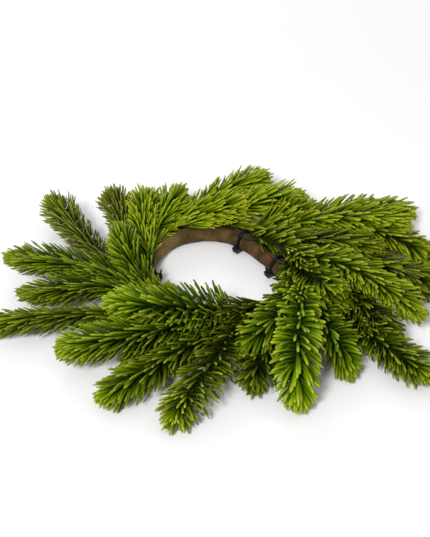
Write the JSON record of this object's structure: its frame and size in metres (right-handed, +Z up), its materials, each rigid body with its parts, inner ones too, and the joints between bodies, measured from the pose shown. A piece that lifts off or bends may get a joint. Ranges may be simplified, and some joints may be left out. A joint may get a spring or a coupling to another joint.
{
  "type": "artificial evergreen candle ring",
  "caption": "Candle ring of soft green needle sprigs bound with cable ties round a brown ring, its centre open for a pillar candle",
  "frame": {"origin": "on the surface that the ring lies on, under the middle of the whole part's box", "axes": "+Z up out of the ring's plane, +X to the picture's right and along the longest spread, +Y away from the viewer"},
  "size_m": [0.3642, 0.3148, 0.0576],
  "materials": {
    "bark": "matt brown, slightly wrinkled wrap",
    "tie": "black nylon, satin",
    "needle": "soft moulded plastic, yellow-green, satin sheen"
  },
  "bodies": {
    "root": {"ring_core": "bark", "tie_01": "tie", "tie_02": "tie", "tie_03": "tie", "tie_04": "tie", "tie_05": "tie", "tie_06": "tie", "tie_07": "tie", "tie_08": "tie", "tie_09": "tie", "tie_10": "tie", "sprig_01": "needle", "sprig_02": "needle", "sprig_03": "needle", "sprig_04": "needle", "sprig_05": "needle", "sprig_06": "needle", "sprig_07": "needle", "sprig_08": "needle", "sprig_09": "needle", "sprig_10": "needle", "sprig_11": "needle", "sprig_12": "needle", "sprig_13": "needle", "sprig_14": "needle", "sprig_15": "needle", "sprig_16": "needle", "sprig_17": "needle", "sprig_18": "needle", "sprig_19": "needle", "sprig_20": "needle", "sprig_21": "needle", "sprig_22": "needle", "sprig_23": "needle", "sprig_24": "needle", "sprig_25": "needle", "sprig_26": "needle", "sprig_27": "needle", "sprig_28": "needle", "sprig_29": "needle", "sprig_30": "needle", "sprig_31": "needle", "sprig_32": "needle", "sprig_33": "needle"}
  },
  "joints": []
}
